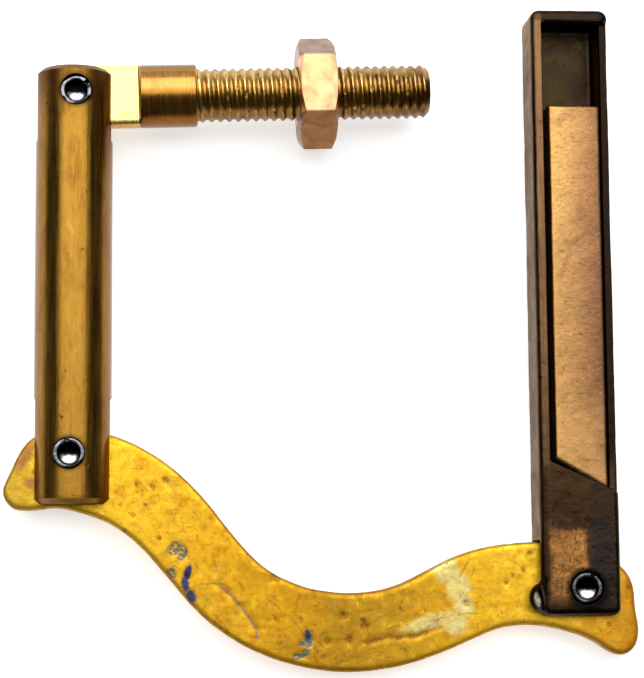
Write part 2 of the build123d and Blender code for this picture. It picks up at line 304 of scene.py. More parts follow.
    # chips down to a grey-blue ground
    chip = s.most([
        s.blob((-25.9, -36.5), (1.35, 0.95), 0.35, w, 40), s.blob((-24.5, -37.4), (0.8, 1.3), 0.4, w, 0),
        s.blob((-26.3, -40.6), (0.8, 1.0), 0.4, w, 10), s.blob((-2.9, -52.2), (0.85, 1.5), 0.4, w, -10),
        s.blob((-4.2, -54.9), (1.6, 0.6), 0.5, w, 25), s.blob((-3.9, -52.9), (1.0, 0.6), 0.5, w, 0)])
    chip = s.math("MULTIPLY", chip, s.remap(s.noise(1.5, 3, 0.6), 0.36, 0.50))
    base = s.mix(chip, base, srgb(98, 104, 96))
    navy = s.most([s.blob((-23.6, -40.7), (0.62, 1.5), 0.35, w2, -14), s.blob((-24.0, -42.6), (0.72, 1.3), 0.4, w2, 8),
                   s.blob((-23.0, -44.6), (0.8, 1.2), 0.45, w2, 30), s.blob((-3.0, -51.6), (0.42, 1.2), 0.5, w2, 10)])
    base = s.mix(navy, base, srgb(58, 62, 96))
    # pits
    pits = [(-32.3, -25.5, .5), (-29.7, -25.8, .42), (-27.3, -24.8, .55), (-33.0, -30.9, .42), (-28.4, -34.7, .4),
            (-19.0, -39.4, .36), (-8.5, -41.6, .75), (-8.4, -48.6, .42), (3.0, -48.2, .6), (6.9, -50.0, .75),
            (6.5, -49.0, .5), (0.5, -52.6, .62), (4.1, -52.3, .58), (34.7, -40.5, .5), (36.0, -37.7, .45),
            (31.7, -42.8, .4), (32.8, -41.6, .4), (24.6, -46.3, .55), (-34.4, -33.4, .36), (-30.9, -29.0, .3),
            (49.5, -50.2, .5), (53.2, -43.6, .5), (-49.6, -23.2, .5), (13.0, -46.9, .3), (-2.0, -44.0, .3)]
    pit = s.most([s.blob((px, py), (r * 0.95, r * (0.75 + 0.5 * ((px * 7.3) % 1.0))), 0.6, w2, px * 37.0) for px, py, r in pits])
    # fine specks scattered over the whole casting
    speck = s.remap(s.cells(0.62, vector=w2), 0.16, 0.07)
    speck = s.math("MULTIPLY", speck, s.remap(s.noise(0.22, 2), 0.50, 0.62))
    pit = s.math("MULTIPLY", pit, s.remap(s.noise(1.3, 4, 0.65), 0.36, 0.60, 0.25, 1.0))
    dark = s.math("MAXIMUM", s.math("MULTIPLY", pit, 0.7), s.math("MULTIPLY", speck, 0.65))
    base = s.mix(dark, base, srgb(112, 56, 30))
    # soot in the worn belly
    soot = s.math("MULTIPLY", s.remap(s.noise(0.75, 5, 0.68, vector=s.vec("ADD", s.p, (3.0, 9.0, 60.0))), 0.54, 0.68), s.blob((0.0, -50.5), (24.0, 7.5), 0.5, w))
    base = s.mix(s.math("MULTIPLY", soot, 0.6), base, srgb(120, 84, 40))
    # partly grime and partly painted shade: the sides and the rolled edges are darkened to a browner colour
    up = s.math("ABSOLUTE", s.facing(UP))
    side_grime_and_shade = s.remap(up, 0.96, 0.45, 0, 0.72)
    base = s.mix(s.math("MULTIPLY", side_grime_and_shade, s.remap(mottle, 0.30, 0.62, 0.75, 1.0)), base, srgb(128, 84, 34))
    rough = s.remap(mottle, 0.3, 0.7, 0.40, 0.58)
    rough = s.math("ADD", rough, s.math("MULTIPLY", dark, 0.2))
    h = s.math("ADD", s.math("MULTIPLY", mottle, 0.10), s.math("MULTIPLY", fine, 0.035))
    h = s.math("SUBTRACT", h, s.math("MULTIPLY", s.math("ADD", dark, s.math("MAXIMUM", chip, navy)), 0.05))
    return s.done(base, rough, s.bump(h, 0.55))


# ------------------------------------------------------------------ side rod
def rod_material():
    s = Shade("rod_brass")
    x, y, z = s.axes()
    streak = s.noise(1.0, 4, 0.6, vector=s.scaled((1.6, 0.055, 1.6)))
    thin = s.noise(1.0, 3, 0.6, vector=s.scaled((7.0, 0.10, 7.0)))
    blotch = s.noise(0.22, 4, 0.6, vector=s.scaled((1, 0.6, 1)), distortion=0.6)
    fine = s.noise(1.9, 5, 0.65)
    base = s.ramp(streak, [(0.30, srgb(150, 112, 38)), (0.46, srgb(166, 126, 44)), (0.60, srgb(180, 136, 52)), (0.74, srgb(160, 112, 44))])
    base = s.mix(s.remap(blotch, 0.50, 0.72, 0, 0.55), base, srgb(128, 84, 34))
    base = s.mix(s.remap(fine, 0.58, 0.74, 0, 0.35), base, srgb(112, 70, 34))
    base = s.mix(s.remap(thin, 0.60, 0.72, 0, 0.30), base, srgb(196, 158, 78))
    base = s.mix(1.0, base, (0.66, 0.62, 0.66, 1), "MULTIPLY")
    stain = s.noise(0.42, 5, 0.66, vector=s.scaled((1.5, 0.45, 1.5)), distortion=0.7)
    base = s.mix(s.remap(stain, 0.50, 0.66, 0, 0.45), base, srgb(104, 66, 24))
    base = s.mix(s.remap(stain, 0.42, 0.30, 0, 0.35), base, srgb(176, 136, 62))
    # painted shade: both flanks of the rod are darkened to a reddish brown
    flank = s.math("ABSOLUTE", s.math("SUBTRACT", x, ROD_X))
    base = s.mix(s.remap(flank, 5.0, 6.5, 0, 0.6), base, srgb(112, 66, 38))
    # brown heat and hand tarnish toward both ends
    ends = s.math("MAXIMUM", s.remap(y, 37.0, 46.0), s.remap(y, -26.5, -29.0))
    tarnish = s.math("MULTIPLY", ends, s.remap(blotch, 0.30, 0.60, 0.45, 1.0))
    base = s.mix(s.math("MULTIPLY", tarnish, 0.7), base, srgb(86, 48, 22))
    # painted shadow: a dark ring around each pin
    rings = []
    for px, py in ((PIVOT_X_LOW, PIVOT_Y_LOW), (PIVOT_X_TOP, PIVOT_Y_TOP)):
        a = s.math("SUBTRACT", x, px)
        b = s.math("SUBTRACT", y, py)
        d = s.math("SQRT", s.math("ADD", s.math("MULTIPLY", a, a), s.math("MULTIPLY", b, b)))
        rings.append(s.remap(d, 3.5, 2.8))
    base = s.mix(s.math("MULTIPLY", s.most(rings), 0.55), base, srgb(46, 30, 16))
    # scattered dark marks
    mark = s.math("MULTIPLY", s.remap(s.cells(0.34, vector=s.warp(1.6, 0.5)), 0.15, 0.06), s.remap(s.noise(0.3, 2), 0.48, 0.6))
    base = s.mix(s.math("MULTIPLY", mark, 0.6), base, srgb(66, 42, 22))
    rough = s.remap(streak, 0.3, 0.7, 0.23, 0.33)
    rough = s.math("ADD", rough, s.math("MULTIPLY", tarnish, 0.12))
    h = s.math("ADD", s.math("MULTIPLY", thin, 0.010), s.math("MULTIPLY", streak, 0.030))
    h = s.math("ADD", h, s.math("MULTIPLY", s.noise(0.8, 3), 0.030))
    h = s.math("SUBTRACT", h, s.math("MULTIPLY", mark, 0.04))
    return s.done(base, rough, s.bump(h, 0.6))


# ---------------------------------------------------------------- swing stud
def stud_material():
    s = Shade("stud_brass", frame_matrix="stud")
    x, y, z = s.axes()
    rings = s.noise(1.0, 3, 0.6, vector=s.scaled((6.0, 0.16, 0.16)))
    blotch = s.noise(0.35, 4, 0.6, distortion=0.5)
    fine = s.noise(2.6, 5, 0.65)
    base = s.ramp(rings, [(0.30, srgb(190, 148, 76)), (0.5, srgb(206, 166, 92)), (0.72, srgb(214, 178, 104))])
    base = s.mix(s.remap(blotch, 0.48, 0.70, 0, 0.45), base, srgb(170, 118, 58))
    base = s.mix(s.remap(fine, 0.58, 0.74, 0, 0.35), base, srgb(140, 92, 48))
    on_thread = s.remap(x, 20.8, 21.5)
    base = s.mix(1.0, base, s.mix(on_thread, (0.88, 0.71, 0.66, 1), (1.08, 1.12, 1.22, 1)), "MULTIPLY")
    # the tang is freshly milled and pale
    tang = s.remap(x, 11.4, 10.9)
    base = s.mix(s.math("MULTIPLY", tang, s.remap(s.math("ABSOLUTE", s.facing(UP)), 0.5, 0.95)), base, srgb(226, 210, 124))
    # a small rubbed mark on it
    nick = s.blob((8.6, -3.5), (1.5, 0.42), 0.6, s.warp(1.2, 0.4), 12)
    base = s.mix(s.math("MULTIPLY", nick, 0.5), base, srgb(206, 160, 70))
    # the threaded length is browner, and darkest near the tip
    far = s.remap(x, 42.0, 60.0, 0.10, 0.80)
    worn = s.remap(s.noise(0.55, 4, 0.62), 0.38, 0.62, 0.25, 1.0)
    thread = s.remap(x, 20.8, 21.5)
    base = s.mix(s.math("MULTIPLY", thread, s.math("MULTIPLY", far, worn)), base, srgb(120, 74, 36))
    # grime in the roots; pale crests, partly rubbed metal and partly a painted highlight
    r = s.math("SQRT", s.math("ADD", s.math("MULTIPLY", y, y), s.math("MULTIPLY", z, z)))
    root = s.math("MULTIPLY", s.remap(r, 4.66, 4.36), thread)
    base = s.mix(s.math("MULTIPLY", root, 0.55), base, srgb(132, 94, 46))
    crest = s.math("MULTIPLY", s.math("MULTIPLY", s.remap(r, 4.70, 4.755), thread), s.remap(s.noise(1.3, 4), 0.40, 0.56))
    base = s.mix(s.math("MULTIPLY", crest, s.remap(x, 40.0, 60.0, 0.65, 0.30)), base, srgb(250, 224, 140))
    # the lower flank never catches the light, the upper one only a little
    base = s.mix(s.math("MULTIPLY", s.remap(y, -2.2, -4.4), s.remap(x, 10.85, 11.15)), base, (0.34, 0.27, 0.17, 1), "MULTIPLY")
    base = s.mix(s.math("MULTIPLY", s.remap(y, 2.6, 4.6), s.remap(x, 10.85, 11.15)), base, (0.38, 0.34, 0.19, 1), "MULTIPLY")
    # painted shade in a strip just below the stud's axis
    under = s.math("MULTIPLY", s.math("MULTIPLY", s.remap(y, 0.6, -0.4), s.remap(y, -3.6, -2.4)), s.remap(x, 10.85, 11.15))
    base = s.mix(s.math("MULTIPLY", under, 0.8), base, (0.50, 0.45, 0.20, 1), "MULTIPLY")
    spots = s.math("MULTIPLY", s.remap(s.cells(0.55, vector=s.warp(1.6, 0.5)), 0.27, 0.15), s.remap(s.noise(0.35, 2), 0.47, 0.6))
    spots = s.math("MULTIPLY", spots, s.remap(x, 20.0, 30.0))
    base = s.mix(s.math("MULTIPLY", spots, 0.8), base, srgb(58, 36, 24))
    rough = s.math("ADD", s.remap(rings, 0.3, 0.7, 0.20, 0.30), s.math("MULTIPLY", thread, 0.05))
    rough = s.math("ADD", rough, s.math("MULTIPLY", spots, 0.2))
    h = s.math("MULTIPLY", rings, s.remap(x, 10.9, 11.15, 0.0, 0.016))
    h = s.math("ADD", h, s.math("MULTIPLY", s.noise(1.0, 4), 0.03))
    h = s.math("SUBTRACT", h, s.math("MULTIPLY", s.math("ADD", spots, nick), 0.05))
    return s.done(base, rough, s.bump(h, 0.6))


def nut_material():
    s = Shade("nut_brass", frame_matrix="stud")
    x, y, z = s.axes()
    blotch = s.noise(0.35, 4, 0.6, distortion=0.4)
    fine = s.noise(2.2, 5, 0.65)
    mill = s.noise(1.0, 3, 0.6, vector=s.scaled((0.5, 3.2, 3.2)))
    base = s.ramp(blotch, [(0.32, srgb(232, 198, 140)), (0.5, srgb(226, 184, 130)), (0.68, srgb(208, 158, 116))])
    base = s.mix(s.remap(fine, 0.56, 0.72, 0, 0.35), base, srgb(186, 136, 96))
    base = s.mix(s.remap(mill, 0.56, 0.72, 0, 0.25), base, srgb(244, 216, 158))
    # painted shade: the upper and lower facets are darkened, the front one is left bright
    facet_shade = s.ramp(s.remap(y, -10.2, 10.2, smooth=False), [
        (0.00, (0.30, 0.22, 0.19)), (0.245, (0.27, 0.20, 0.18)), (0.265, (0.92, 0.70, 0.72)),
        (0.735, (0.90, 0.70, 0.72)), (0.755, (0.27, 0.19, 0.18)), (1.00, (0.31, 0.22, 0.21))])
    base = s.mix(1.0, base, facet_shade, "MULTIPLY")
    # rim dirt around the bore
    r = s.math("SQRT", s.math("ADD", s.math("MULTIPLY", y, y), s.math("MULTIPLY", z, z)))
    base = s.mix(s.remap(r, 5.8, 4.9, 0, 0.7), base, srgb(72, 46, 24))
    mark = s.math("MULTIPLY", s.remap(s.cells(0.6, vector=s.warp(1.6, 0.4)), 0.18, 0.08), s.remap(s.noise(0.4, 2), 0.5, 0.6))
    base = s.mix(s.math("MULTIPLY", mark, 0.55), base, srgb(120, 78, 52))
    rough = s.remap(blotch, 0.3, 0.7, 0.26, 0.38)
    h = s.math("ADD", s.math("MULTIPLY", mill, 0.014), s.math("MULTIPLY", s.noise(0.9, 4), 0.035))
    h = s.math("SUBTRACT", h, s.math("MULTIPLY", mark, 0.04))
    return s.done(base, rough, s.bump(h, 0.6))


# --------------------------------------------------------------- channel arm
def arm_material():
    s = Shade("arm_bronze")
    x, y, z = s.axes()
    blotch = s.noise(0.20, 4, 0.6, distortion=0.6)
    fine = s.noise(1.4, 5, 0.65)
    drawn = s.noise(1.0, 3, 0.6, vector=s.scaled((2.4, 0.10, 2.4)))
    base = s.ramp(blotch, [(0.30, srgb(46, 35, 22)), (0.46, srgb(54, 39, 25)), (0.60, srgb(64, 46, 31)), (0.74, srgb(50, 39, 34))])
    base = s.mix(s.remap(fine, 0.55, 0.72, 0, 0.45), base, srgb(32, 23, 16))
    base = s.mix(s.remap(drawn, 0.56, 0.72, 0, 0.30), base, srgb(82, 60, 41))
    # painted highlight: the strip along the left wall is lightened along its middle, strongest near the top
    lip_highlight = s.math("MULTIPLY", s.math("MULTIPLY", s.remap(x, 39.5, 39.1), s.remap(x, 37.7, 38.2)), s.remap(z, 3.9, 4.6))
    lip_highlight = s.math("MULTIPLY", lip_highlight, s.remap(y, -40.0, 50.0, 0.25, 1.0))
    lip_highlight = s.math("MULTIPLY", lip_highlight, s.remap(drawn, 0.30, 0.60, 0.45, 1.0))
    base = s.mix(s.math("MULTIPLY", lip_highlight, 0.75), base, srgb(124, 92, 62))
    # painted reflection: the outer left wall, where it faces -X, is given its own lighter brown
    left = s.remap(s.facing(tuple(-X_AX)), 0.55, 0.95)
    base = s.mix(s.math("MULTIPLY", left, s.remap(drawn, 0.35, 0.62, 0.55, 0.9)), base, srgb(66, 46, 33))
    # ear: a lighter brown window above the pin, partly wear and partly painted light, and a painted shade strip,
    # blue-black, to its right
    w = s.warp(0.5, 1.1)
    front = s.remap(z, 4.2, 4.7)
    wx, wy, wz = s.axes(s.warp(0.45, 1.0))
    worn = s.math("MULTIPLY", s.math("MULTIPLY", s.remap(wx, 38.2, 40.0), s.remap(wx, 46.0, 44.9)),
                  s.math("MULTIPLY", s.remap(wy, -33.0, -35.0), s.remap(wy, -46.8, -44.2)))
    worn = s.math("MULTIPLY", worn, s.remap(s.noise(0.55, 4, 0.6, vector=s.vec("ADD", s.p, (2.0, 90.0, 3.0))), 0.30, 0.55, 0.45, 1.0))
    swirl = s.remap(s.noise(1.0, 3, 0.6, vector=s.scaled((1.6, 0.7, 1.0)), distortion=1.6), 0.36, 0.60, 0.45, 1.0)
    worn = s.math("MULTIPLY", s.math("MULTIPLY", worn, front), swirl)
    base = s.mix(s.math("MULTIPLY", worn, 0.85), base, srgb(168, 114, 61))
    ear_band_shade = s.math("MULTIPLY", s.math("MULTIPLY", s.remap(x, 45.6, 47.0), s.remap(x, 51.0, 49.4)), front)
    base = s.mix(s.math("MULTIPLY", ear_band_shade, 0.75), base, srgb(36, 34, 34))
    low = s.math("MULTIPLY", s.remap(y, -46.0, -47.6), front)
    base = s.mix(s.math("MULTIPLY", low, 0.8), base, srgb(30, 20, 15))
    upper = s.math("MULTIPLY", s.math("MULTIPLY", s.remap(y, -33.0, -31.6), s.remap(y, -20.0, -24.0)), front)
    base = s.mix(s.math("MULTIPLY", upper, 0.6), base, srgb(50, 34, 20))
    ear_left = s.math("MULTIPLY", s.math("MULTIPLY", s.remap(x, 39.2, 38.4), front), s.remap(y, -22.0, -25.0))
    base = s.mix(s.math("MULTIPLY", ear_left, 0.8), base, srgb(40, 28, 19))
    # inside the channel: dark olive and brown
    floor = s.math("MULTIPLY", s.remap(z, 3.2, 2.6), s.math("MULTIPLY", s.remap(x, 38.6, 39.0), s.remap(x, 50.3, 49.8)))
    floor = s.math("MULTIPLY", floor, s.remap(s.facing(UP), 0.0, 0.3))
    base = s.mix(s.math("MULTIPLY", floor, 0.8), base, s.ramp(blotch, [(0.35, srgb(44, 36, 20)), (0.65, srgb(38, 28, 22))]))
    # painted shade: the edges of the sheet and the right wall's top are made very dark
    rim = s.most([s.remap(y, 57.9, 58.5), s.math("MULTIPLY", s.remap(x, 49.5, 49.8), s.remap(y, -24.0, -21.0)), s.remap(x, 50.7, 51.2), s.math("MULTIPLY", s.remap(x, 37.9, 37.55), s.remap(z, 4.0, 4.5))])
    base = s.mix(s.math("MULTIPLY", rim, 0.85), base, srgb(24, 17, 13))
    # folded top: a darker stripe on its upper face, and a painted highlight along its inner face
    band_top = s.math("MULTIPLY", s.remap(y, 56.7, 57.1), s.remap(s.facing(UP), 0.5, 0.8))
    base = s.mix(s.math("MULTIPLY", band_top, 0.6), base, srgb(34, 24, 17))
    top = s.math("MULTIPLY", s.remap(s.facing(tuple(-Y_AX)), 0.3, 0.8), s.remap(y, 56.0, 56.8))
    top = s.math("MULTIPLY", top, s.math("MULTIPLY", s.remap(x, 50.2, 49.2), s.remap(z, 2.2, 3.2)))
    base = s.mix(s.math("MULTIPLY", top, 0.9), base, srgb(196, 158, 112))
    # painted shadow: a dark ring around the arm's pin
    d = s.vec("DISTANCE", s.vec("MULTIPLY", s.p, (1, 1, 0)), (PIVOT_X_RIGHT, PIVOT_Y_RIGHT, 0))
    ring = s.math("MULTIPLY", s.remap(d, 4.2, 3.1), front)
    base = s.mix(s.math("MULTIPLY", ring, 0.9), base, srgb(14, 13, 12))
    # the rolled corner catches one small highlight
    curl = s.math("MULTIPLY", s.blob((36.6, -46.2), (0.55, 1.5), 0.5, None, 18), front)
    nub = s.math("MULTIPLY", s.remap(x, 38.0, 37.3), s.remap(y, -42.0, -43.2))
    base = s.mix(s.math("MULTIPLY", nub, 0.85), base, srgb(24, 18, 15))
    base = s.mix(s.math("MULTIPLY", curl, 0.9), base, srgb(150, 140, 124))
    speck = s.math("MULTIPLY", s.remap(s.cells(0.5, vector=s.warp(1.5, 0.5)), 0.20, 0.09), s.remap(s.noise(0.25, 2), 0.46, 0.58))
    base = s.mix(s.math("MULTIPLY", speck, 0.6), base, srgb(16, 12, 10))
    rough = s.remap(blotch, 0.3, 0.7, 0.28, 0.42)
    h = s.math("ADD", s.math("MULTIPLY", s.noise(0.35, 4), 0.16), s.math("MULTIPLY", fine, 0.03))
    h = s.math("ADD", h, s.math("MULTIPLY", drawn, 0.02))
    h = s.math("SUBTRACT", h, s.math("MULTIPLY", speck, 0.05))
    # painted reflection: the outer left wall's specular tint is warmed and dulled, following the same facing mask
    s.put(s.mix(left, (1.0, 1.0, 1.0, 1), (0.86, 0.74, 0.63, 1)), s.bsdf.inputs["Specular Tint"])
    return s.done(base, rough, s.bump(h, 0.6))


def contact_material():
    s = Shade("contact_brass")
    x, y, z = s.axes()
    rub = s.noise(1.0, 4, 0.6, vector=s.scaled((0.55, 2.6, 1.0)))
    turned = s.node("ShaderNodeMapping")
    turned.inputs["Rotation"].default_value = (0, 0, math.radians(-38))
    s.put(s.p, turned.inputs["Vector"])
    cross = s.noise(1.0, 4, 0.62, vector=s.vec("MULTIPLY", turned.outputs["Vector"], (0.35, 3.4, 1.0)))
    blotch = s.noise(0.17, 4, 0.62, distortion=0.7)
    fine = s.noise(2.0, 5, 0.65)
    across = s.remap(s.math("ADD", x, s.math("MULTIPLY", s.math("SUBTRACT", blotch, 0.5), 5.0)), 40.6, 49.8, smooth=False)
    base = s.ramp(across, [(0.0, srgb(236, 190, 112)), (0.30, srgb(218, 170, 104)), (0.62, srgb(190, 142, 92)), (0.85, srgb(162, 118, 82)), (1.0, srgb(130, 94, 66))])
    base = s.mix(s.remap(blotch, 0.46, 0.70, 0, 0.55), base, srgb(160, 112, 78))
    base = s.mix(s.remap(rub, 0.50, 0.70, 0, 0.40), base, srgb(144, 100, 66))
    base = s.mix(s.remap(cross, 0.54, 0.70, 0, 0.42), base, srgb(242, 200, 134))
    base = s.mix(s.remap(fine, 0.56, 0.74, 0, 0.38), base, srgb(124, 86, 60))
    lowtone = s.remap(y, 30.0, -10.0, smooth=False)
    base = s.mix(1.0, base, s.ramp(lowtone, [(0.0, (0.58, 0.56, 0.54)), (0.5, (0.46, 0.43, 0.46)), (1.0, (0.43, 0.39, 0.40))]), "MULTIPLY")
    scuff = s.noise(1.0, 5, 0.7, vector=s.scaled((1.1, 1.9, 1.0)), distortion=1.2)
    base = s.mix(s.remap(scuff, 0.52, 0.66, 0, 0.55), base, srgb(88, 60, 40))
    base = s.mix(s.remap(scuff, 0.44, 0.30, 0, 0.45), base, srgb(190, 142, 90))
    # painted highlight along the left edge
    base = s.mix(s.remap(x, 42.2, 40.9, 0, 0.4), base, srgb(178, 128, 70))
    foot = s.math("MULTIPLY", s.remap(y, -6.0, -20.0), s.remap(blotch, 0.35, 0.6, 0.5, 1.0))
    base = s.mix(s.math("MULTIPLY", foot, 0.4), base, srgb(206, 160, 96))
    # painted shade along the edges that meet the channel
    edge = s.most([s.remap(x, 49.0, 49.85), s.remap(z, 2.4, 0.0)])
    base = s.mix(s.math("MULTIPLY", edge, 0.75), base, srgb(44, 30, 20))
    speck = s.math("MULTIPLY", s.remap(s.cells(0.6, vector=s.warp(1.5, 0.5)), 0.17, 0.08), s.remap(s.noise(0.25, 2), 0.48, 0.6))
    base = s.mix(s.math("MULTIPLY", speck, 0.6), base, srgb(86, 56, 42))
    rough = s.remap(cross, 0.3, 0.7, 0.30, 0.46)
    h = s.math("ADD", s.math("MULTIPLY", rub, 0.020), s.math("MULTIPLY", cross, 0.022))
    h = s.math("ADD", h, s.math("MULTIPLY", s.noise(0.5, 4), 0.07))
    return s.done(base, rough, s.bump(h, 0.7))


def pin_material():
    s = Shade("pin_steel")
    x, y, z = s.axes()
    # position about the nearest pin's own axis
    on_arm = s.math("GREATER_THAN", x, 0.0)
    high = s.math("GREATER_THAN", y, 0.0)
    cx = s.math("ADD", s.math("MULTIPLY", on_arm, PIVOT_X_RIGHT - PIVOT_X_LOW), PIVOT_X_LOW)
    cx = s.math("ADD", cx, s.math("MULTIPLY", high, PIVOT_X_TOP - PIVOT_X_LOW))
    cy = s.math("ADD", s.math("MULTIPLY", high, PIVOT_Y_TOP - PIVOT_Y_LOW), PIVOT_Y_LOW)
    cy = s.math("ADD", cy, s.math("MULTIPLY", on_arm, PIVOT_Y_RIGHT - PIVOT_Y_LOW))
    wob = s.math("MULTIPLY", s.math("SUBTRACT", s.noise(0.8, 3, 0.6), 0.5), 0.9)
    u = s.math("SUBTRACT", x, cx)
    v = s.math("SUBTRACT", y, cy)
    d = s.math("SQRT", s.math("ADD", s.math("MULTIPLY", u, u), s.math("MULTIPLY", v, v)))
    blotch = s.noise(0.9, 4, 0.6)
    fine = s.noise(3.5, 4, 0.65)
    base = s.ramp(blotch, [(0.35, srgb(134, 135, 142)), (0.55, srgb(112, 113, 120)), (0.72, srgb(76, 74, 80))])
    base = s.mix(s.math("MULTIPLY", on_arm, 0.6), base, srgb(40, 40, 42))
    base = s.mix(s.remap(fine, 0.60, 0.74, 0, 0.5), base, srgb(60, 54, 52))
    # painted shadow: a dark outline, darkest towards the lower right
    base = s.mix(s.remap(d, 2.45, 2.70, 0, 0.8), base, srgb(24, 20, 24))
    shade = s.math("SUBTRACT", s.math("MULTIPLY", u, 0.45), v)
    base = s.mix(s.math("MULTIPLY", s.remap(s.math("ADD", shade, wob), 1.75, 2.25), s.remap(d, 1.7, 2.0)), base, srgb(30, 28, 28))
    # painted shade: black inside the upper part of the bore; painted highlight: a bright metal glint below
    inside = s.remap(d, 2.02, 1.84)
    black = s.remap(s.math("ADD", v, wob), -0.62, 0.0)
    a = s.math("DIVIDE", s.math("SUBTRACT", u, 0.15), 1.30)
    b = s.math("DIVIDE", s.math("ADD", v, 1.0), 0.78)
    glint = s.math("SQRT", s.math("ADD", s.math("MULTIPLY", a, a), s.math("MULTIPLY", b, b)))
    glint = s.remap(s.math("ADD", glint, wob), 1.35, 0.55)
    deep = s.mix(glint, srgb(74, 74, 78), srgb(196, 198, 202))
    deep = s.mix(black, deep, srgb(6, 6, 7))
    base = s.mix(inside, base, deep)
    rough = s.remap(blotch, 0.3, 0.7, 0.18, 0.34)
    h = s.math("ADD", s.math("MULTIPLY", blotch, 0.08), s.math("MULTIPLY", fine, 0.02))
    return s.done(base, rough, s.bump(h, 0.6))


# -------------------------------------------------------------- mesh helpers
def mesh_object(name, verts, faces, matrix, body, material, sharp=40.0):
    me = bpy.data.meshes.new(name)
    me.from_pydata([tuple(v) for v in verts], [], [tuple(f) for f in faces])
    me.transform(matrix)
    bm = bmesh.new()
    bm.from_mesh(me)
    bmesh.ops.remove_doubles(bm, verts=bm.verts, dist=1e-7)
    bmesh.ops.dissolve_degenerate(bm, edges=bm.edges, dist=1e-7)
    bmesh.ops.recalc_face_normals(bm, faces=bm.faces)
    bm.to_mesh(me)
    bm.free()
    me.shade_smooth()
    me.set_sharp_from_angle(angle=math.radians(sharp))
    me.materials.append(material)
    ob = bpy.data.objects.new(name, me)
    bpy.context.scene.collection.objects.link(ob)
    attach(ob, body)
    return ob


# ------------------------------------------------- swing stud with its thread
SHANK_R, THREAD_R, TANG_END, SHANK_END, STUD_TIP = 5.555, 4.7625, 11.01, 21.06, 62.36
PITCH, DEPTH, TANG_HALF, HOLE_R = 1.5875, 0.44, 1.985, 2.86
RIM = [0.0, 0.08, 0.17, 0.235, 0.30, 0.42, 0.56, 0.68, 0.745, 0.80, 0.90, 1.00, 1.10, 1.20, 1.33, 1.46]


def groove(u):
    """Depth of the thread at u millimetres along one pitch, 0 on the crest."""
    crest, flank = 0.20, 0.53
    if u < crest:
        d = 0.0
    elif u < crest + flank:
        d = (u - crest) / flank
    elif u < PITCH - flank:
        d = 1.0
    else:
        d = (PITCH - u) / flank
    return DEPTH * (d * d * (3 - 2 * d) * 0.35 + d * 0.65)


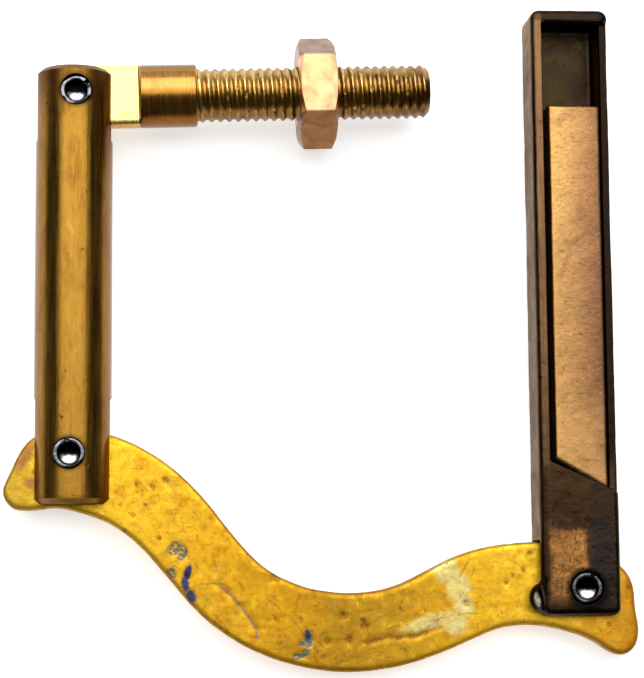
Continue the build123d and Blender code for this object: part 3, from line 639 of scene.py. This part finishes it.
def threaded_stud(material):
    n = 96
    verts, faces = [], []

    def ring(x, radius):
        start = len(verts)
        for j in range(n):
            a = 2 * math.pi * j / n
            r = radius(a)
            verts.append((x, r * math.cos(a), r * math.sin(a)))
        return start

    def join(a, b):
        for j in range(n):
            k = (j + 1) % n
            faces.append((a + j, a + k, b + k, b + j))

    def flat_ring(x, inset=0.0):
        half_y = math.sqrt(max(0.0, SHANK_R ** 2 - min(x, 0.0) ** 2)) - inset
        half_z = TANG_HALF - inset

        def radius(a):
            r = SHANK_R - inset
            if abs(math.sin(a)) > 1e-9:
                r = min(r, half_z / abs(math.sin(a)))
            if x < 0 and abs(math.cos(a)) > 1e-9:
                r = min(r, max(half_y, 0.001) / abs(math.cos(a)))
            return r
        return ring(x, radius)

    # tang: rounded end about the pin, then two milled flats
    rows = []
    for i in range(15):
        t = math.pi / 2 * (1 - i / 14)
        rows.append(flat_ring(-SHANK_R * math.sin(t) if i < 14 else 0.0))
    for x in (2.5, 5.0, 7.5, 10.0, TANG_END - 0.25):
        rows.append(flat_ring(x))
    # small fillet and the shoulder up to the round shank
    rows.append(ring(TANG_END, lambda a: min(SHANK_R - 0.02, (TANG_HALF + 0.25) / max(abs(math.sin(a)), 1e-9))))
    rows.append(ring(TANG_END, lambda a: SHANK_R - 0.30))
    for x, inset in ((TANG_END + 0.07, 0.13), (TANG_END + 0.16, 0.05), (TANG_END + 0.30, 0.0),
                     (14.0, 0.0), (17.0, 0.0), (20.0, 0.0), (SHANK_END - 0.42, 0.0),
                     (SHANK_END - 0.22, 0.06), (SHANK_END - 0.08, 0.18), (SHANK_END, 0.34)):
        rows.append(ring(x, lambda a, i=inset: SHANK_R - i))
    for a, b in zip(rows, rows[1:]):
        join(a, b)
    # thread, on rows that follow the helix so that every crest is clean
    x0 = SHANK_END
    per_turn = len(RIM)
    turns = int((STUD_TIP - x0) / PITCH) + 3
    index = {}
    for i in range(-per_turn, turns * per_turn + 1):
        base = x0 + PITCH * (i // per_turn) + RIM[i % per_turn]
        for j in range(n):
            x = base + PITCH * j / n
            a = 2 * math.pi * j / n
            clamped = min(max(x, x0), STUD_TIP)
            u = (clamped - x0 - PITCH * j / n) % PITCH
            r = THREAD_R - groove(u) * min(1.0, 0.35 + (clamped - x0) / 1.3)
            limit = THREAD_R - max(0.0, clamped - (STUD_TIP - 0.95)) * 0.95
            r = min(r, limit)
            # worn and nicked crests
            k = noise.noise(Vector((clamped * 0.9, r * math.cos(a) * 0.9, r * math.sin(a) * 0.9)))
            if u < 0.32 or u > PITCH - 0.12:
                r -= 0.11 * max(0.0, k - 0.12) / 0.4 + 0.012 * (1 + k)
            index[i, j] = len(verts)
            verts.append((clamped, r * math.cos(a), r * math.sin(a)))
    last = turns * per_turn
    for i in range(-per_turn, last):
        for j in range(n):
            if j < n - 1:
                q = (index[i, j], index[i, j + 1], index[i + 1, j + 1], index[i + 1, j])
            elif i + 1 + per_turn <= last:
                q = (index[i, j], index[i + per_turn, 0], index[i + 1 + per_turn, 0], index[i + 1, j])
            else:
                continue
            xs = [verts[v][0] for v in q]
            if max(xs) - min(xs) > 1e-9:
                faces.append(q)
    # shoulder face and tip face, as discs whose rims sit on the thread's ends
    def end_ring(x):
        start = len(verts)
        for j in range(n):
            a = 2 * math.pi * j / n
            u = (x - x0 - PITCH * j / n) % PITCH
            r = THREAD_R - groove(u) * min(1.0, 0.35 + (x - x0) / 1.3)
            r = min(r, THREAD_R - max(0.0, x - (STUD_TIP - 0.95)) * 0.95)
            k = noise.noise(Vector((x * 0.9, r * math.cos(a) * 0.9, r * math.sin(a) * 0.9)))
            if u < 0.32 or u > PITCH - 0.12:
                r -= 0.11 * max(0.0, k - 0.12) / 0.4 + 0.012 * (1 + k)
            verts.append((x, r * math.cos(a), r * math.sin(a)))
        return start
    join(rows[-1], end_ring(x0))
    tip = end_ring(STUD_TIP)
    # a shallow centre mark from the lathe
    prev = tip
    for x, r in ((STUD_TIP, 1.35), (STUD_TIP - 0.35, 0.95), (STUD_TIP - 0.9, 0.45)):
        now = ring(x, lambda a, r=r: r)
        join(prev, now)
        prev = now
    verts.append((STUD_TIP - 1.15, 0, 0))
    for j in range(n):
        faces.append((prev + j, prev + (j + 1) % n, len(verts) - 1))
    # closing cap of the rounded end
    first = rows[0]
    verts.append((-SHANK_R, 0, 0))
    for j in range(n):
        faces.append((first + (j + 1) % n, first + j, len(verts) - 1))

    ob = mesh_object("swing_stud_turned", verts, faces, STUD, "stud", material, 32)
    # the pin's hole
    me = bpy.data.meshes.new("bore")
    bm = bmesh.new()
    bmesh.ops.create_cone(bm, cap_ends=True, segments=72, radius1=HOLE_R, radius2=HOLE_R, depth=16)
    bm.to_mesh(me)
    bm.free()
    me.transform(STUD)
    tool = bpy.data.objects.new("bore", me)
    bpy.context.scene.collection.objects.link(tool)
    mod = ob.modifiers.new("hole", "BOOLEAN")
    mod.operation = "DIFFERENCE"
    mod.object = tool
    mod.solver = "EXACT"
    dg = bpy.context.evaluated_depsgraph_get()
    made = bpy.data.meshes.new_from_object(ob.evaluated_get(dg))
    ob.modifiers.clear()
    ob.data = made
    bpy.data.objects.remove(tool)
    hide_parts("swing_stud")
    return ob


# ------------------------------------------------- saddle bar, as it was cast
def cast_bar(material):
    source = frame["nodes"]["saddle_bar"]
    me = source.data.copy()
    me.name = "saddle_bar_cast"
    me.transform(UNFLAT)
    ob = bpy.data.objects.new("saddle_bar_cast", me)
    bpy.context.scene.collection.objects.link(ob)
    bm = bmesh.new()
    bm.from_mesh(me)
    bmesh.ops.remove_doubles(bm, verts=bm.verts, dist=1e-4)
    bm.to_mesh(me)
    bm.free()
    me.materials.clear()
    mod = ob.modifiers.new("grid", "REMESH")
    mod.mode = "VOXEL"
    mod.voxel_size = 0.36
    dg = bpy.context.evaluated_depsgraph_get()
    made = bpy.data.meshes.new_from_object(ob.evaluated_get(dg))
    ob.modifiers.clear()
    ob.data = made
    count = len(made.vertices)
    co = np.zeros(count * 3)
    made.vertices.foreach_get("co", co)
    co = co.reshape(-1, 3)
    no = np.zeros(count * 3)
    made.vertices.foreach_get("normal", no)
    no = no.reshape(-1, 3)
    holes = ((PIVOT_X_LOW, PIVOT_Y_LOW), (PIVOT_X_RIGHT, PIVOT_Y_RIGHT))
    dents = [(-25.9, -36.5, 1.3, .16), (-24.3, -37.6, 1.0, .12), (-23.7, -41.6, 1.1, .18), (-23.2, -44.2, 1.0, .12),
             (-26.2, -40.7, 1.0, .10), (-2.9, -52.2, 1.2, .18), (-4.2, -54.9, 1.3, .12), (6.9, -50.0, 1.0, .18),
             (3.0, -48.2, .8, .15), (0.5, -52.6, .8, .14), (4.1, -52.3, .8, .14), (-8.5, -41.6, .9, .16),
             (-32.3, -25.5, .7, .12), (-29.7, -25.8, .6, .10), (-27.3, -24.8, .8, .12), (-33.0, -30.9, .7, .10),
             (34.7, -40.5, .7, .12), (36.0, -37.7, .6, .10), (24.6, -46.3, .8, .12), (31.7, -42.8, .6, .1)]
    creases = [((6.5, -53.0), (10.7, -52.05)), ((10.7, -52.05), (14.8, -52.1)), ((14.8, -52.1), (19.7, -50.5)),
               ((-18.5, -42.7), (-14.6, -46.4)), ((-14.6, -46.4), (-11.9, -50.4)), ((-11.9, -50.4), (-11.7, -52.2))]
    for i in range(count):
        x, y, z = co[i]
        v = Vector((x, y, z))
        d = 0.055 * noise.noise(v * 0.22) + 0.035 * noise.noise(v * 0.62 + Vector((5, 1, 2))) + 0.018 * noise.noise(v * 1.5)
        d = min(d, 0.03) - 0.02
        if z > 0:
            for px, py, r, deep in dents:
                q = ((x - px) ** 2 + (y - py) ** 2) / (r * r)
                if q < 4:
                    d -= deep * math.exp(-q * 1.6)
            for a, b in creases:
                bx, by = b[0] - a[0], b[1] - a[1]
                t = min(1.0, max(0.0, ((x - a[0]) * bx + (y - a[1]) * by) / (bx * bx + by * by)))
                q = math.hypot(x - a[0] - t * bx, y - a[1] - t * by)
                if q < 1.2:
                    d -= 0.09 * math.exp(-(q / 0.42) ** 2)
        near = min(math.hypot(x - hx, y - hy) for hx, hy in holes)
        d *= min(1.0, max(0.0, (near - 3.4) / 1.2))
        co[i] += no[i] * d
    made.vertices.foreach_set("co", co.ravel())
    made.transform(FLAT)
    made.update()
    made.shade_smooth()
    made.materials.append(material)
    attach(ob, "saddle")
    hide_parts("saddle_bar")
    return ob


def worn_copy(node, name, body, material, voxel, field):
    """The same piece with softened edges and a surface that field() pushes inwards."""
    ob = bpy.data.objects.new(name, frame["nodes"][node].data.copy())
    bpy.context.scene.collection.objects.link(ob)
    me = ob.data
    me.transform(UNFLAT)
    bm = bmesh.new()
    bm.from_mesh(me)
    bmesh.ops.remove_doubles(bm, verts=bm.verts, dist=1e-4)
    bm.to_mesh(me)
    bm.free()
    me.materials.clear()
    mod = ob.modifiers.new("grid", "REMESH")
    mod.mode = "VOXEL"
    mod.voxel_size = voxel
    dg = bpy.context.evaluated_depsgraph_get()
    made = bpy.data.meshes.new_from_object(ob.evaluated_get(dg))
    ob.modifiers.clear()
    ob.data = made
    count = len(made.vertices)
    co = np.zeros(count * 3)
    made.vertices.foreach_get("co", co)
    co = co.reshape(-1, 3)
    no = np.zeros(count * 3)
    made.vertices.foreach_get("normal", no)
    no = no.reshape(-1, 3)
    for i in range(count):
        co[i] = field(co[i], no[i])
    made.vertices.foreach_set("co", co.ravel())
    made.transform(FLAT)
    made.update()
    made.shade_smooth()
    made.materials.append(material)
    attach(ob, body)
    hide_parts(node)
    return ob


def arm_field(p, n):
    x, y, z = p
    v = Vector((x, y, z))
    d = 0.10 * noise.noise(v * 0.11) + 0.05 * noise.noise(v * 0.42 + Vector((3, 8, 1))) + 0.02 * noise.noise(v * 1.3)
    d = min(d, 0.02) - 0.02
    near = math.hypot(x - PIVOT_X_RIGHT, y - PIVOT_Y_RIGHT)
    d *= min(1.0, max(0.0, (near - 3.2) / 1.2))
    out = p + n * d
    # the rolled corner: a small bead with a valley between it and the ear
    if x < 38.3 and y < -42.0 and z > 3.4:
        q = math.hypot((x - 36.55) / 1.05, (y + 46.0) / 2.1)
        lower = 0.75 * min(1.0, max(0.0, (q - 0.55) / 0.75)) ** 1.4
        lower *= min(1.0, max(0.0, (38.3 - x) / 0.7)) * min(1.0, max(0.0, (-42.0 - y) / 0.6))
        out[2] = max(3.3, out[2] - lower)
    return out


def contact_field(p, n):
    v = Vector(tuple(p))
    d = 0.08 * noise.noise(v * 0.16 + Vector((9, 2, 4))) + 0.045 * noise.noise(v * 0.5) + 0.016 * noise.noise(v * 1.6)
    return p + n * (min(d, 0.02) - 0.02)


# -------------------------------------------------------- rolled spring pins
def rolled_pin(node, cx, cy, length, split, body, material, rough_head=0.0):
    """A spring pin with rounded lips, a split along it and a dirt-packed bore."""
    n, R, r, h = 96, 2.78, 1.93, length / 2
    prof = [(0.0, h - 1.45), (0.45, h - 1.43), (0.9, h - 1.37), (1.35, h - 1.26), (1.70, h - 1.12), (r - 0.04, h - 0.98),
            (r, h - 0.75), (r + 0.01, h - 0.40), (r + 0.03, h - 0.18), (r + 0.09, h - 0.05), (r + 0.18, h - 0.01),
            (R - 0.22, h - 0.02), (R - 0.10, h - 0.08), (R - 0.03, h - 0.20), (R, h - 0.40), (R, h - 2.0), (R, h * 0.3)]
    prof = prof + [(a, -b) for a, b in reversed(prof)]
    verts, faces, rows = [], [], []
    for i, (a, b) in enumerate(prof):
        if a == 0.0:
            rows.append([len(verts)] * n)
            verts.append((cx, cy, b))
            continue
        row = []
        for j in range(n):
            t = 2 * math.pi * j / n
            off = abs((t - math.radians(split) + math.pi) % (2 * math.pi) - math.pi) * R
            cut = 1.0 - min(1.0, max(0.0, (off - 0.26) / 0.16))
            rad, zz = a, b
            if a > r + 0.1:
                rad = a - cut * (a - r - 0.1)
            if cut > 0 and a > r - 0.05:
                zz = math.copysign(min(abs(b), h - 0.75 * cut), b) if abs(b) > 0 else b
            if rough_head and abs(b) > h - 0.6 and a > 1.5:
                k = noise.noise(Vector((math.cos(t) * 1.4, math.sin(t) * 1.4, b + cy)))
                zz -= math.copysign(rough_head * max(0.0, k + 0.15), b)
                rad -= 0.35 * rough_head * max(0.0, k)
            row.append(len(verts))
            verts.append((cx + rad * math.cos(t), cy + rad * math.sin(t), zz))
        rows.append(row)
    for a, b in zip(rows, rows[1:]):
        for j in range(n):
            k = (j + 1) % n
            q = []
            for v in (a[j], a[k], b[k], b[j]):
                if v not in q:
                    q.append(v)
            if len(q) > 2:
                faces.append(q)
    ob = mesh_object(node + "_rolled", verts, faces, FLAT, body, material, 50)
    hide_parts(node)
    return ob


# ------------------------------------------------------------------ dress up
nodes = frame["nodes"]
saddle = saddle_material()
rod = rod_material()
stud = stud_material()
nut = nut_material()
arm = arm_material()
contact = contact_material()
pin = pin_material()
for name, mat, slot in (("side_rod", rod, "rod_brass"), ("hex_nut", nut, "nut_brass")):
    ob = nodes[name]
    while len(ob.material_slots) > 1:
        ob.data.materials.pop()
    if len(ob.material_slots) == 0:
        ob.data.materials.append(mat)
    ob.material_slots[0].material = mat

threaded_stud(stud)
cast_bar(saddle)
worn_copy("channel_arm", "channel_arm_formed", "arm", arm, 0.30, arm_field)
worn_copy("contact_bar", "contact_bar_rubbed", "arm", contact, 0.28, contact_field)
rolled_pin("lower_spring_pin", PIVOT_X_LOW, PIVOT_Y_LOW, 12.4, 100, "rod", pin, 0.10)
rolled_pin("upper_spring_pin", PIVOT_X_TOP, PIVOT_Y_TOP, 12.4, 40, "rod", pin, 0.55)
rolled_pin("arm_spring_pin", PIVOT_X_RIGHT, PIVOT_Y_RIGHT, 9.5, 65, "arm", pin, 0.12)

# -------------------------------------------------------------------- camera
FOCAL_PX, DIST = 1990.0, 350.0
tilt_x, tilt_y, roll = math.tan(math.radians(5.0)), math.tan(math.radians(6.7)), math.radians(0.45)
away = Vector((-tilt_x, -tilt_y, 1.0)).normalized()
ahead = -away
up0 = Vector((math.sin(roll), math.cos(roll), 0))
right = ahead.cross(up0).normalized()
up = right.cross(ahead)
cam_data = bpy.data.cameras.new("camera")
cam = bpy.data.objects.new("camera", cam_data)
bpy.context.scene.collection.objects.link(cam)
turn = ROT @ Matrix((right, up, away)).transposed()
cam.matrix_world = Matrix.Translation(FLAT @ (away * DIST)) @ turn.to_4x4()
cam_data.sensor_width = 36.0
cam_data.sensor_fit = "AUTO"
cam_data.lens = FOCAL_PX / 678.0 * 36.0
cam_data.clip_start, cam_data.clip_end = 0.01, 100.0
bpy.context.scene.camera = cam

# ---------------------------------------------------------- floor and lights
floor_mesh = bpy.data.meshes.new("floor")
half = 12.0
floor_mesh.from_pydata([(-half, -half, 0), (half, -half, 0), (half, half, 0), (-half, half, 0)], [], [(0, 1, 2, 3)])
floor = bpy.data.objects.new("floor", floor_mesh)
bpy.context.scene.collection.objects.link(floor)
floor.location.z = -0.0002
fm = bpy.data.materials.new("floor_paper")
fm.use_nodes = True
fb = fm.node_tree.nodes["Principled BSDF"]
fb.inputs["Base Color"].default_value = (0.86, 0.86, 0.86, 1)
fb.inputs["Roughness"].default_value = 0.9
fb.inputs["Specular IOR Level"].default_value = 0.1
fb.inputs["Emission Color"].default_value = (1, 1, 1, 1)
fb.inputs["Emission Strength"].default_value = 0.62
floor_mesh.materials.append(fm)


def card(name, centre, look, size_x, size_y, radiance, colour=(1, 1, 1)):
    """A soft rectangular light that can be seen in reflections."""
    data = bpy.data.lights.new(name, "AREA")
    data.shape = "RECTANGLE"
    data.size, data.size_y = size_x, size_y
    data.color = colour
    data.energy = radiance * math.pi * size_x * size_y
    ob = bpy.data.objects.new(name, data)
    bpy.context.scene.collection.objects.link(ob)
    ob.location = centre
    ob.rotation_mode = "QUATERNION"
    ob.rotation_quaternion = (Vector(look) - Vector(centre)).to_track_quat("-Z", "Y")
    ob.visible_camera = False
    return ob


card("softbox", (0.0, 0.70, 1.0), (0.0, 0.70, 0.0), 1.62, 1.50, 3.0)
card("backdrop", (0.0, 2.3, 0.75), (0.0, 0.0, 0.75), 4.0, 1.5, 0.62)

world = bpy.data.worlds.new("studio")
bpy.context.scene.world = world
world.use_nodes = True
wt = world.node_tree
wt.nodes.clear()
wo = wt.nodes.new("ShaderNodeOutputWorld")
bg = wt.nodes.new("ShaderNodeBackground")
bg.inputs["Color"].default_value = (1, 1, 1, 1)
bg.inputs["Strength"].default_value = 0.07
bg2 = wt.nodes.new("ShaderNodeBackground")
bg2.inputs["Color"].default_value = (0.95, 0.95, 0.95, 1)
bg2.inputs["Strength"].default_value = 1.0
lp = wt.nodes.new("ShaderNodeLightPath")
mx = wt.nodes.new("ShaderNodeMixShader")
wt.links.new(lp.outputs["Is Camera Ray"], mx.inputs[0])
wt.links.new(bg.outputs[0], mx.inputs[1])
wt.links.new(bg2.outputs[0], mx.inputs[2])
wt.links.new(mx.outputs[0], wo.inputs["Surface"])

bpy.context.scene.view_settings.view_transform = "Standard"
bpy.context.scene.view_settings.look = "None"
